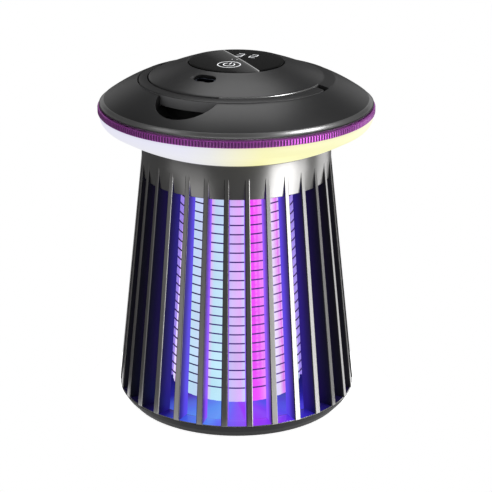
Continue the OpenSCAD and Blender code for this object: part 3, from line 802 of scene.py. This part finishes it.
def edge_finish_and_painted_highlights(cover):
    """Gives the chamfer all round a brighter metallic finish, and paints a highlight on the recess's lips on
    the right front.
    """
    cover.data.materials.append(SATIN_EDGE)
    cover.data.materials.append(LIP_PAINTED_HIGHLIGHT)
    for face in cover.data.polygons:
        if face.normal.z <= 0.2:
            continue
        out, up = face.center.xy.length, face.center.z
        outer_lip = -0.01 * MM < out - RECESS_OUT < LIP and up > BAND_OUT_Z - LIP * 1.3
        inner_lip = -LIP < out - RECESS_IN < 0.01 * MM and up > BAND_IN_Z - LIP * 1.3
        # the lips get the painted highlight only on the right front
        highlight_side = face.center.y < RECESS_BACK_Y and face.center.x > LIP_HIGHLIGHT_FROM_X
        if out > CHAMFER[0] - 0.35 * MM and COVER_EDGE_Z + 0.5 * MM < up < CHAMFER[1] + 0.2 * MM:
            face.material_index = 1
        elif (outer_lip or inner_lip) and highlight_side:
            face.material_index = 2


def make_cover():
    """Dome, recess band and slope in one shell, with the scoop, the socket and the pinhole."""
    cover = cover_shell()
    add_scoop(cover)
    cut_port(cover)
    soften_edges(cover)
    edge_finish_and_painted_highlights(cover)
    finish_piece(cover, "lamp", "satin_black_shell", "upper_cover")


# ---------------------------------------------------------------- handle
def make_handle():
    """Half a ring with softened edges and a round hub at each end."""
    edge = 0.35 * MM
    section = rounded([
        (HANDLE_IN, HANDLE_Z, edge), (HANDLE_OUT, HANDLE_Z, edge),
        (HANDLE_OUT, band_z(HANDLE_OUT), edge), (HANDLE_IN, band_z(HANDLE_IN), edge),
    ])
    steps, hub_steps = 140, 8
    columns = [("hub", -1, k / hub_steps) for k in range(hub_steps, 0, -1)]
    columns += [("arc", 0, -90 + 180 * k / steps) for k in range(steps + 1)]
    columns += [("hub", 1, k / hub_steps) for k in range(1, hub_steps + 1)]
    bm = bmesh.new()
    rings = []
    hub = HINGE_Z - HANDLE_Z
    inset = 0.12 * MM
    for kind, side, value in columns:
        ring = []
        for p in section:
            if kind == "arc":
                ring.append(bm.verts.new(front_angle(value, p.x, p.y)))
                continue
            lift = hub * math.sqrt(max(1 - (value * 0.985) ** 2, 0))
            low, high = HINGE_Z - lift, HINGE_Z + lift
            z = min(max(p.y, low), high)
            x = min(max(p.x, HANDLE_IN + inset), HANDLE_OUT - 3 * inset)
            ring.append(bm.verts.new((side * x, value * hub, z)))
        rings.append(ring)
    for a, b in zip(rings, rings[1:]):
        for k in range(len(a)):
            j = (k + 1) % len(a)
            bm.faces.new((a[k], a[j], b[j], b[k]))
    bm.faces.new(rings[0])
    bm.faces.new(rings[-1])
    bmesh.ops.remove_doubles(bm, verts=bm.verts, dist=1e-6)
    handle = new_object("handle_half_ring", bm, [SATIN_BLACK, WALL_PAINTED_LIGHT], 40)
    # the handle's outer wall gets the lighter painted-light copy of the satin black
    for face in handle.data.polygons:
        if abs(face.normal.z) < 0.3 and face.center.xy.length > HANDLE_OUT - 0.1 * MM:
            face.material_index = 1
    finish_piece(handle, "handle", "satin_black_shell", "carry_handle")


# ---------------------------------------------------------------- trim ring, diffuser, lens
def make_trim_ring():
    """Ring with a fine upright knurl between two plain edges."""
    teeth = 280
    per_tooth = 4
    depth = 0.28 * MM
    inner = RING_IN
    edge = 0.3 * MM
    outline = [
        (inner, RING_Z), (RING_R - edge - depth, RING_Z), (RING_R - depth, RING_Z + edge * 0.6),
        (RING_R, RING_Z + edge * 1.6), (RING_R, RING_TOP - edge * 1.6),
        (RING_R - depth, RING_TOP - edge * 0.6), (RING_R - edge - depth, RING_TOP), (inner, RING_TOP),
    ]

    def knurl(angle, r, z):
        tooth = round(angle / TAU * teeth * per_tooth) % per_tooth
        groove = depth if tooth in (2, 3) and r > RING_R - depth / 2 else 0
        return r - groove, z

    ring = lathe("trim_ring_knurled", outline, [PURPLE, PURPLE_PAINTED_SHADE], teeth * per_tooth,
                 slot="purple_trim", nodes=["trim_ring"], sharp_deg=25, shape=knurl)
    # the knurl's groove walls get the darker painted-shade purple
    for face in ring.data.polygons:
        below_crest = RING_R - depth * 1.2 < face.center.xy.length < RING_R - depth * 0.3
        if below_crest and abs(face.normal.z) < 0.3:
            face.material_index = 1


def make_diffuser():
    """Thin milky bowl of the night light, under the ring."""
    knee = Vector(DIFFUSER_KNEE)
    wall = 1.6 * MM
    head = Vector((DIFFUSER_HIGH.x, RING_Z - HAIR))
    foot = Vector((DIFFUSER_FOOT_R, DIFFUSER_LOW.z + HAIR))
    outer = arc(foot, knee, -0.5 * MM, 16)[:-2] + arc(knee, head, -1.3 * MM, 18)[2:]
    inner = [Vector((p.x - wall * 0.8, p.y + wall * 0.9)) for p in reversed(outer)]
    inner[0] = Vector((head.x - wall, head.y))
    inner[-1] = Vector((foot.x - wall, foot.y))
    between = [p for p in inner[1:-1] if foot.y + wall < p.y < head.y - 0.4 * MM]
    inner = [inner[0]] + between + [inner[-1]]
    lathe("diffuser_bowl", outer + inner, [DIFFUSER], 256, slot="milky_diffuser", nodes=["diffuser"])


def make_lens():
    """Display glass, slightly domed, with a softened rim."""
    steps = 16
    outline = [(0, LENS_Z), (LENS_R, LENS_Z), (LENS_R, LENS_TOP - LENS_DROP - 0.25 * MM),
               (LENS_R - 0.1 * MM, LENS_TOP - LENS_DROP - 0.08 * MM)]
    for k in range(steps + 1):
        r = (LENS_R - 0.35 * MM) * (1 - k / steps)
        outline.append((r, LENS_TOP - LENS_DROP * (r / LENS_R) ** 2))
    lathe("lens_disc", outline, [GLASS], 192, slot="lens_glass", nodes=["display_lens"])


def lens_surface(x, y):
    """Height of the domed glass at x, y."""
    return LENS_TOP - LENS_DROP * (x * x + y * y) / (LENS_R * LENS_R)


def flat_mark(bm, points):
    """A thin raised mark on the lens, from its outline."""
    proud = 0.03 * MM
    low = [bm.verts.new((x, y, lens_surface(x, y) - 0.05 * MM)) for x, y in points]
    high = [bm.verts.new((x, y, lens_surface(x, y) + proud)) for x, y in points]
    bm.faces.new(low)
    bm.faces.new(high)
    for k in range(len(points)):
        j = (k + 1) % len(points)
        bm.faces.new((low[k], low[j], high[j], high[k]))


def ring_mark(bm, centre, radius, width, start=0.0, end=360.0):
    """A ring or a part of one, as a strip of flat marks."""
    steps = max(6, int(72 * (end - start) / 360))
    for k in range(steps):
        a = math.radians(start + (end - start) * k / steps)
        b = math.radians(start + (end - start) * (k + 1) / steps)
        inner, outer = radius - width / 2, radius + width / 2
        flat_mark(bm, [
            (centre[0] + inner * math.sin(a), centre[1] + inner * math.cos(a)),
            (centre[0] + outer * math.sin(a), centre[1] + outer * math.cos(a)),
            (centre[0] + outer * math.sin(b), centre[1] + outer * math.cos(b)),
            (centre[0] + inner * math.sin(b), centre[1] + inner * math.cos(b)),
        ])


def turned_mark(bm, centre, corners):
    """A flat mark about centre, turned with the display's artwork."""
    c, s = math.cos(MARK_TURN), math.sin(MARK_TURN)
    flat_mark(bm, [(centre[0] + (x * c - y * s), centre[1] + (x * s + y * c)) for x, y in corners])


def make_touch_sign():
    """Generic power sign in a ring, and two small dots."""
    bm = bmesh.new()
    ring_mark(bm, KEY_AT, 4.85 * MM, 0.36 * MM)
    gap = 35 - math.degrees(MARK_TURN)
    ring_mark(bm, KEY_AT, 2.4 * MM, 0.42 * MM, gap, gap + 290)
    half = 0.21 * MM
    turned_mark(bm, KEY_AT, [(-half, 0.3 * MM), (half, 0.3 * MM), (half, 3.3 * MM), (-half, 3.3 * MM)])
    for dot in DOTS_AT:
        ring_mark(bm, dot, 0.12 * MM, 0.24 * MM)
    finish_piece(new_object("touch_sign", bm, [WHITE_MARK]), "lamp", "lens_glass")


def make_digits():
    """Two-digit readout, each digit from bars along the edges and the middle of a box."""
    bm = bmesh.new()
    for centre, shown in DIGITS:
        for segment in shown:
            x0, y0, x1, y1 = (v - 0.5 for v in SEGMENTS[segment])
            ax, bx = x0 * DIGIT_W - DIGIT_PAD, x1 * DIGIT_W + DIGIT_PAD
            ay, by = y0 * DIGIT_H, y1 * DIGIT_H
            if y0 == y1:
                ay, by = ay - DIGIT_PAD, by + DIGIT_PAD
            turned_mark(bm, centre, [(ax, ay), (bx, ay), (bx, by), (ax, by)])
    finish_piece(new_object("readout_digits", bm, [WHITE_MARK]), "lamp", "digit_block")


# ---------------------------------------------------------------- grille
def blade_r(z):
    """Radius of the blades' outer edge at height z."""
    return BLADE_FOOT_R - (BLADE_FOOT_R - BLADE_HEAD_R) * (z - BLADE_FOOT_Z) / (COLLAR_Z - BLADE_FOOT_Z)


def collar_r(z):
    """Radius of the collar at height z: set back between the blades, flush with them at RIDGE_TOP_Z."""
    low = BLADE_HEAD_R - 1.2 * MM
    share = min(max((z - COLLAR_Z) / (RIDGE_TOP_Z - COLLAR_Z), 0), 1)
    return low + (blade_r(RIDGE_TOP_Z) + 0.2 * MM - low) * share


def make_collar():
    """Metallic band over the blades, with a flange inside its lower edge."""
    wall = 2.4 * MM
    top_r = blade_r(COLLAR_TOP)
    inner_low = COLLAR_HIGH.x - 5 * MM
    outline = rounded([
        (inner_low, COLLAR_Z, 0.2 * MM), (collar_r(COLLAR_Z), COLLAR_Z, 0.3 * MM),
        (collar_r(RIDGE_TOP_Z), RIDGE_TOP_Z, 0.0), (top_r, COLLAR_TOP - HAIR, 0.2 * MM),
        (top_r - wall, COLLAR_TOP - HAIR, 0.2 * MM), (top_r - wall, COLLAR_Z + 3 * MM, 0.2 * MM),
        (inner_low, COLLAR_Z + 3 * MM, 0.2 * MM),
    ])
    lathe("collar_band", outline, [GUNMETAL], 256, slot="grille_plastic", nodes=["grille_collar"])


def blade_section(z):
    """Corners of one blade at height z: (distance from the axis, sideways), from the inner edge round."""
    t = (z - BLADE_FOOT_Z) / (COLLAR_Z - BLADE_FOOT_Z)
    outer = blade_r(z)
    foot_in = BLADE_FOOT_R - BLADE_DEPTH
    inner = max(outer - BLADE_DEPTH, foot_in - (foot_in - FLANGE_IN) * t)
    if z > COLLAR_Z:
        inner = collar_r(z) - 0.4 * MM
        outer = max(outer, collar_r(z) + HAIR)
    share = min(t, 1)
    half_out = BLADE_HALF_FOOT + (BLADE_HALF_HEAD - BLADE_HALF_FOOT) * share
    half_in = BLADE_ROOT_FOOT + (BLADE_ROOT_HEAD - BLADE_ROOT_FOOT) * share
    edge = 0.32 * MM
    return [
        (inner, -half_in), (outer - edge, -half_out), (outer - edge * 0.3, -half_out + edge * 0.3),
        (outer, -half_out + edge), (outer, half_out - edge),
        (outer - edge * 0.3, half_out - edge * 0.3), (outer - edge, half_out), (inner, half_in),
    ]


def make_blades():
    """Upright blades; over the collar's lower edge each thins to a ridge that runs out in the collar."""
    step = 0.05 * MM
    levels = [BLADE_FOOT_Z + HAIR + (COLLAR_Z - BLADE_FOOT_Z) * k / 14 for k in range(15)]
    levels[-1] = COLLAR_Z - step
    levels += [COLLAR_Z + step + (BLADE_TIP_Z - COLLAR_Z - step) * k / 5 for k in range(6)]
    bm = bmesh.new()
    for i in range(BLADE_COUNT):
        turn = TAU * i / BLADE_COUNT - math.pi / 2
        c, s = math.cos(turn), math.sin(turn)
        rings = []
        for z in levels:
            ring = []
            for r, v in blade_section(z):
                ring.append(bm.verts.new((r * c - v * s, r * s + v * c, z)))
            rings.append(ring)
        for a, b in zip(rings, rings[1:]):
            count = len(a)
            for k in range(count):
                j = (k + 1) % count
                face = bm.faces.new((a[k], a[j], b[j], b[k]))
                # the flanks and the inner face carry the painted glow; the bevel on one side of each blade
                # carries painted shade
                face.material_index = 1 if k in (0, count - 2, count - 1) else 2 if k in (1, 2) else 0
        bm.faces.new(rings[0])
        bm.faces.new(rings[-1])
    blades = new_object("grille_blades", bm, [GUNMETAL, BLADE_PAINTED_LIGHT, BLADE_EDGE_PAINTED_SHADE], 20)
    finish_piece(blades, "lamp", "grille_plastic", "grille_fins")


def make_foot_ring():
    """Rounded black foot, with the column's light on its top and a painted highlight along its top edge."""
    inner = FOOT_IN_R
    low, top = FOOT_LOW.z, FOOT_HIGH.z
    outer = FOOT_HIGH.x
    outline = rounded([
        (inner, low, 0.2 * MM), (FOOT_BOTTOM_R, low, 0.2 * MM), (*FOOT_BULGE, 2 * MM),
        (outer, top - 0.5 * MM, 0.3 * MM), (outer - 0.3 * MM, top, 0.12 * MM), (inner, top, 0.15 * MM),
    ])
    ring = lathe("foot_ring_band", outline, [FOOT_BLACK, FOOT_TOP, LIP_PAINTED_HIGHLIGHT], 256, slot="grille_plastic",
                 nodes=["grille_foot_ring"])
    # the flat top takes the column's light; the rounded top edge takes the painted highlight
    for face in ring.data.polygons:
        if face.center.z > top - 0.3 * MM and face.normal.z > 0.1:
            face.material_index = 1 if face.normal.z > 0.95 else 2


# ---------------------------------------------------------------- light column, wires, tray
def grid_r(z):
    """Radius of the wired cone at height z."""
    share = (WIRE_HIGH.z - WIRE_R - z) / (WIRE_HIGH.z - WIRE_LAST_LOW.z - 2 * WIRE_R)
    return GRID_HEAD_R + (GRID_FOOT_R - GRID_HEAD_R) * share


def make_column():
    """Hollow fluted light guide inside the wires."""
    gap = 2.4 * MM
    wall = 1.6 * MM
    low, high = GUIDE_LOW.z, GUIDE_HIGH.z
    flutes = 60
    depth = 0.18 * MM

    def flute(angle, r, z):
        ripple = depth * (0.5 - 0.5 * math.cos(angle * flutes))
        return r - ripple, z

    low_r, high_r = grid_r(low) - gap, grid_r(high) - gap
    outline = rounded([
        (low_r - wall, low, 0.2 * MM), (low_r, low, 0.4 * MM),
        (high_r, high - HAIR, 0.2 * MM), (high_r - wall, high - HAIR, 0.2 * MM),
    ])
    lathe("light_column", outline, [COLUMN], flutes * 8, slot="lit_guide", nodes=["light_guide"],
          shape=flute)


def wire_ring(bm, r, z):
    """One closed turn of wire of radius r at height z."""
    around, across = 128, 10
    rings = []
    for k in range(around):
        angle = TAU * k / around
        ring = []
        for m in range(across):
            reach = r + WIRE_R * math.cos(TAU * m / across)
            lift = WIRE_R * math.sin(TAU * m / across)
            ring.append(bm.verts.new((reach * math.cos(angle), reach * math.sin(angle), z + lift)))
        rings.append(ring)
    for a, b in zip(rings, rings[1:] + rings[:1]):
        for m in range(across):
            j = (m + 1) % across
            bm.faces.new((a[m], b[m], b[j], a[j]))


def make_wires():
    """Two sets of wire rings, live and return, by turns down the cone."""
    top = WIRE_HIGH.z - WIRE_R
    pitch = (top - WIRE_LAST_LOW.z - WIRE_R) / (WIRE_COUNT - 1)
    sets = (("live_wires", "grid_wires_live"), ("return_wires", "grid_wires_return"))
    for first, (name, node) in enumerate(sets):
        bm = bmesh.new()
        for i in range(first, WIRE_COUNT, 2):
            z = top - pitch * i
            wire_ring(bm, grid_r(z), z)
        finish_piece(new_object(name, bm, [WIRE], 60), "lamp", "grid_wire", node)


def make_tray():
    """Shallow dish with a glossy floor and two fine rings in it."""
    low, high = TRAY_LOW.z, TRAY_HIGH.z
    wall = 1.4 * MM
    floor = low + 1.2 * MM
    groove = 0.25 * MM
    inner = TRAY_R - wall
    points = [
        (0, low), (TRAY_R, low), (TRAY_R, high - 0.3 * MM), (TRAY_R - 0.3 * MM, high),
        (inner + 0.2 * MM, high), (inner, high - 0.3 * MM),
        (inner, floor + 0.4 * MM), (inner - 0.4 * MM, floor),
    ]
    for r in (42 * MM, 38 * MM):
        points += [(r + 0.3 * MM, floor), (r, floor - groove), (r - 0.3 * MM, floor)]
    points += [(0, floor)]
    tray = lathe("tray_dish", points, [TRAY_FLOOR, TRAY_BLACK], 192, "tray", "tray_plastic",
                 ["insect_tray"])
    for face in tray.data.polygons:
        if face.center.xy.length > inner - 0.1 * MM or face.normal.z < -0.5:
            face.material_index = 1


# ---------------------------------------------------------------- stage and light
def make_floor():
    """A round pale table top, with a soft lower edge."""
    low = -6 * MM
    table = [(0, low), (TABLE_R - 4 * MM, low), (TABLE_R, low + 2 * MM), (TABLE_R, TABLE_TOP_Z - 1 * MM),
             (TABLE_R - 1 * MM, TABLE_TOP_Z), (0, TABLE_TOP_Z)]
    floor = lathe("floor", table, [floor_material()], 256)


def softbox(name, azimuth, elevation, width, height, brightness):
    """A rectangular light aimed at the lamp, with its azimuth counted from the camera to the right."""
    data = bpy.data.lights.new(name, "AREA")
    data.shape = "RECTANGLE"
    data.size = width
    data.size_y = height
    data.energy = brightness * math.pi * width * height
    light = bpy.data.objects.new(name, data)
    bpy.context.scene.collection.objects.link(light)
    turn = CAMERA_AZIMUTH + math.radians(azimuth)
    lift = math.radians(elevation)
    away = Vector((math.sin(turn) * math.cos(lift), -math.cos(turn) * math.cos(lift), math.sin(lift)))
    light.location = Vector((0, 0, LIGHT_AIM_Z)) + away * LIGHT_DISTANCE
    light.rotation_euler = (-away).to_track_quat("-Z", "Y").to_euler()
    light.visible_camera = False


def make_world():
    """A white cove to the eye and as soft light, and a dim grey room in reflections."""
    world = bpy.data.worlds.new("studio")
    bpy.context.scene.world = world
    world.use_nodes = True
    tree = world.node_tree
    tree.nodes.clear()
    output = tree.nodes.new("ShaderNodeOutputWorld")
    pick = tree.nodes.new("ShaderNodeMixShader")
    rays = tree.nodes.new("ShaderNodeLightPath")
    tree.links.new(rays.outputs["Is Glossy Ray"], pick.inputs[0])
    for socket, strength in ((pick.inputs[1], 1.0), (pick.inputs[2], 0.09)):
        background = tree.nodes.new("ShaderNodeBackground")
        background.inputs["Color"].default_value = (1, 1, 1, 1)
        background.inputs["Strength"].default_value = strength
        tree.links.new(background.outputs[0], socket)
    tree.links.new(pick.outputs[0], output.inputs["Surface"])


def make_lights():
    """Softboxes: azimuth and elevation in degrees, width and height in metres, brightness."""
    softbox("key_right", 57, -15, 0.55, 0.8, 4.5)
    softbox("key_edge", 83, -15, 0.22, 0.8, 2.2)
    softbox("back_right", 126, -17, 0.5, 0.75, 1.5)
    softbox("fill_left_low", -50, -25, 0.55, 0.35, 0.8)
    softbox("fill_left", -60, -5, 0.8, 0.3, 0.38)
    softbox("top_back", 180, 68, 0.55, 0.45, 2.6)
    softbox("side_right", 155, 10, 0.3, 0.6, 0.35)
    softbox("side_left", -155, 10, 0.3, 0.6, 0.3)
    softbox("edge_right", 76, 50, 0.28, 0.25, 13)
    softbox("edge_left", -80, 52, 0.25, 0.25, 1.1)


# ---------------------------------------------------------------- build
make_camera()
for node, material in NODE_MATERIALS.items():
    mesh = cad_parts[node].data
    mesh.materials.clear()
    mesh.materials.append(material)
make_cover()
make_handle()
make_trim_ring()
make_diffuser()
make_lens()
make_touch_sign()
make_digits()
make_collar()
make_blades()
make_foot_ring()
make_column()
make_wires()
make_tray()
make_floor()
make_world()
make_lights()
bpy.context.scene.view_settings.view_transform = "Standard"
